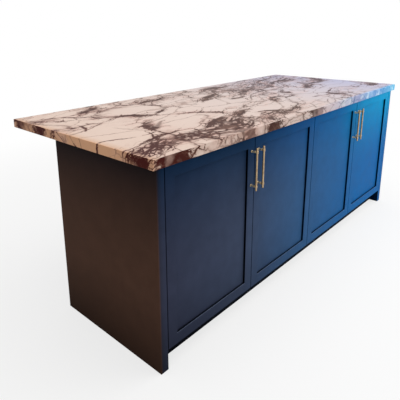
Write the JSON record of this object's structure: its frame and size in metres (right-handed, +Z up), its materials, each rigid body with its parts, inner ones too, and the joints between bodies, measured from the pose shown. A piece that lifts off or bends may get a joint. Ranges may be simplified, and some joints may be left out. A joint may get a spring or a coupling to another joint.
{
  "type": "kitchen island unit",
  "caption": "Kitchen island with a veined stone worktop, navy framed doors on concealed hinges, brass bar handles, thick end panels and a seating overhang.",
  "frame": {"origin": "on the floor, under the middle of the whole island's box", "axes": "+X along the front to the right, +Y from the front to the seating side, +Z up"},
  "size_m": [2.4, 1.0204, 0.9],
  "materials": {
    "marble": "polished, cream with purple-brown veins",
    "navy_paint": "satin navy lacquer on fibreboard",
    "dark_plinth": "satin dark navy lacquer on fibreboard",
    "white_board": "matt white melamine-faced board",
    "plywood": "bare birch plywood",
    "softwood": "planed softwood",
    "black_steel": "black powder coat",
    "nickelled_steel": "nickel plated",
    "brass": "satin brass",
    "black_plastic": "moulded black plastic"
  },
  "bodies": {
    "island": {"worktop": "marble", "end_panel_left": "navy_paint", "end_panel_right": "navy_paint", "back_panel": "navy_paint", "back_battens": "softwood", "sub_top": "plywood", "overhang_bars": "black_steel", "cabinet_side_1": "white_board", "cabinet_side_2": "white_board", "cabinet_side_3": "white_board", "cabinet_side_4": "white_board", "cabinet_bottom_left": "white_board", "cabinet_bottom_right": "white_board", "back_board_left": "white_board", "back_board_right": "white_board", "top_rails_left": "white_board", "top_rails_right": "white_board", "shelf_left": "white_board", "shelf_right": "white_board", "shelf_pins": "nickelled_steel", "plinth": "dark_plinth", "plinth_clips": "black_plastic", "leg_sockets": "black_plastic", "leg_stems": "black_plastic", "leg_feet": "black_plastic", "hinge_arms": "nickelled_steel", "hinge_plates": "nickelled_steel"},
    "door_1_links": {"door_1_hinge_links": "nickelled_steel", "door_1_hinge_pins": "nickelled_steel"},
    "door_1": {"door_1_stiles": "navy_paint", "door_1_rails": "navy_paint", "door_1_panel": "navy_paint", "door_1_hinge_cups": "nickelled_steel", "door_1_handle_bar": "brass", "door_1_handle_posts": "brass"},
    "door_2_links": {"door_2_hinge_links": "nickelled_steel", "door_2_hinge_pins": "nickelled_steel"},
    "door_2": {"door_2_stiles": "navy_paint", "door_2_rails": "navy_paint", "door_2_panel": "navy_paint", "door_2_hinge_cups": "nickelled_steel", "door_2_handle_bar": "brass", "door_2_handle_posts": "brass"},
    "door_3_links": {"door_3_hinge_links": "nickelled_steel", "door_3_hinge_pins": "nickelled_steel"},
    "door_3": {"door_3_stiles": "navy_paint", "door_3_rails": "navy_paint", "door_3_panel": "navy_paint", "door_3_hinge_cups": "nickelled_steel", "door_3_handle_bar": "brass", "door_3_handle_posts": "brass"},
    "door_4_links": {"door_4_hinge_links": "nickelled_steel", "door_4_hinge_pins": "nickelled_steel"},
    "door_4": {"door_4_stiles": "navy_paint", "door_4_rails": "navy_paint", "door_4_panel": "navy_paint", "door_4_hinge_cups": "nickelled_steel", "door_4_handle_bar": "brass", "door_4_handle_posts": "brass"}
  },
  "joints": [
    {"name": "door_1_link_turn", "type": "hinge", "parent": "island", "child": "door_1_links", "pos_m": [-1.0974, -0.43875, 0.4735], "axis": [0, 0, 1], "range_deg": [0, 35]},
    {"name": "door_1_swing", "type": "hinge", "parent": "door_1_links", "child": "door_1", "pos_m": [-1.1188, -0.45975, 0.4735], "axis": [0, 0, -1], "range_deg": [0, 135]},
    {"name": "door_2_link_turn", "type": "hinge", "parent": "island", "child": "door_2_links", "pos_m": [-0.0356, -0.43875, 0.4735], "axis": [0, 0, -1], "range_deg": [0, 29.75]},
    {"name": "door_2_swing", "type": "hinge", "parent": "door_2_links", "child": "door_2", "pos_m": [-0.0142, -0.45975, 0.4735], "axis": [0, 0, 1], "range_deg": [0, 114.75]},
    {"name": "door_3_link_turn", "type": "hinge", "parent": "island", "child": "door_3_links", "pos_m": [0.0356, -0.43875, 0.4735], "axis": [0, 0, 1], "range_deg": [0, 29.75]},
    {"name": "door_3_swing", "type": "hinge", "parent": "door_3_links", "child": "door_3", "pos_m": [0.0142, -0.45975, 0.4735], "axis": [0, 0, -1], "range_deg": [0, 114.75]},
    {"name": "door_4_link_turn", "type": "hinge", "parent": "island", "child": "door_4_links", "pos_m": [1.0974, -0.43875, 0.4735], "axis": [0, 0, -1], "range_deg": [0, 35]},
    {"name": "door_4_swing", "type": "hinge", "parent": "door_4_links", "child": "door_4", "pos_m": [1.1188, -0.45975, 0.4735], "axis": [0, 0, 1], "range_deg": [0, 135]}
  ],
  "couplings": [
    {"joint": "door_1_link_turn", "follows": "door_1_swing", "ratio": 0.25926},
    {"joint": "door_2_link_turn", "follows": "door_2_swing", "ratio": 0.25926},
    {"joint": "door_3_link_turn", "follows": "door_3_swing", "ratio": 0.25926},
    {"joint": "door_4_link_turn", "follows": "door_4_swing", "ratio": 0.25926}
  ]
}
